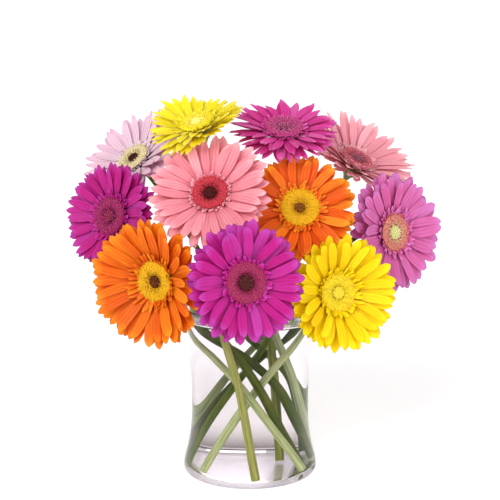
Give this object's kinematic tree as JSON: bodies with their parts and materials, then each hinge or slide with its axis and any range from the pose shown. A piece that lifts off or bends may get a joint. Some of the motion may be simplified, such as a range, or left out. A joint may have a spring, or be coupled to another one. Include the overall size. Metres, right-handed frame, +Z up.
{
  "type": "gerberas in a vase",
  "caption": "Clear glass vase with water and an upright, domed bunch of gerbera flowers, each with layered petals, a floret disc and a long leafless stem.",
  "frame": {"origin": "middle of the vase's underside", "axes": "+Z up, -Y toward the side that most of the blooms face, +X to that viewer's right"},
  "size_m": [0.3678, 0.2477, 0.3663],
  "materials": {
    "glass": "clear, polished",
    "water": "clear water",
    "stem": "satin, finely ribbed and downy",
    "petal_lilac": "soft satin petal",
    "petal_yellow": "soft satin petal",
    "petal_magenta": "soft satin petal",
    "petal_salmon": "soft satin petal",
    "petal_pink": "soft satin petal",
    "petal_orange": "soft satin petal",
    "petal_orchid": "soft satin petal",
    "disc_cream": "matt florets",
    "disc_gold": "matt florets",
    "disc_lemon": "matt florets",
    "disc_wine": "matt florets",
    "disc_red": "matt florets",
    "disc_plum": "matt florets",
    "eye_dark": "matt florets",
    "eye_olive": "matt florets",
    "eye_pale": "matt florets"
  },
  "bodies": {
    "root": {"vase": "glass", "water": "water", "stem_lilac": "stem", "rays_lilac": "petal_lilac", "disc_lilac": "disc_cream", "eye_lilac": "eye_dark", "stem_yellow_top": "stem", "rays_yellow_top": "petal_yellow", "disc_yellow_top": "disc_lemon", "eye_yellow_top": "eye_pale", "stem_magenta_top": "stem", "rays_magenta_top": "petal_magenta", "disc_magenta_top": "disc_wine", "eye_magenta_top": "eye_dark", "stem_salmon": "stem", "rays_salmon": "petal_salmon", "disc_salmon": "disc_plum", "eye_salmon": "eye_dark", "stem_pink": "stem", "rays_pink": "petal_pink", "disc_pink": "disc_red", "eye_pink": "eye_dark", "stem_orange_right": "stem", "rays_orange_right": "petal_orange", "disc_orange_right": "disc_gold", "eye_orange_right": "eye_dark", "stem_orchid": "stem", "rays_orchid": "petal_orchid", "disc_orchid": "disc_cream", "eye_orchid": "eye_olive", "stem_magenta_left": "stem", "rays_magenta_left": "petal_magenta", "disc_magenta_left": "disc_wine", "eye_magenta_left": "eye_dark", "stem_orange_left": "stem", "rays_orange_left": "petal_orange", "disc_orange_left": "disc_gold", "eye_orange_left": "eye_dark", "stem_magenta_front": "stem", "rays_magenta_front": "petal_magenta", "disc_magenta_front": "disc_wine", "eye_magenta_front": "eye_dark", "stem_yellow_right": "stem", "rays_yellow_right": "petal_yellow", "disc_yellow_right": "disc_lemon", "eye_yellow_right": "eye_olive"}
  },
  "joints": []
}
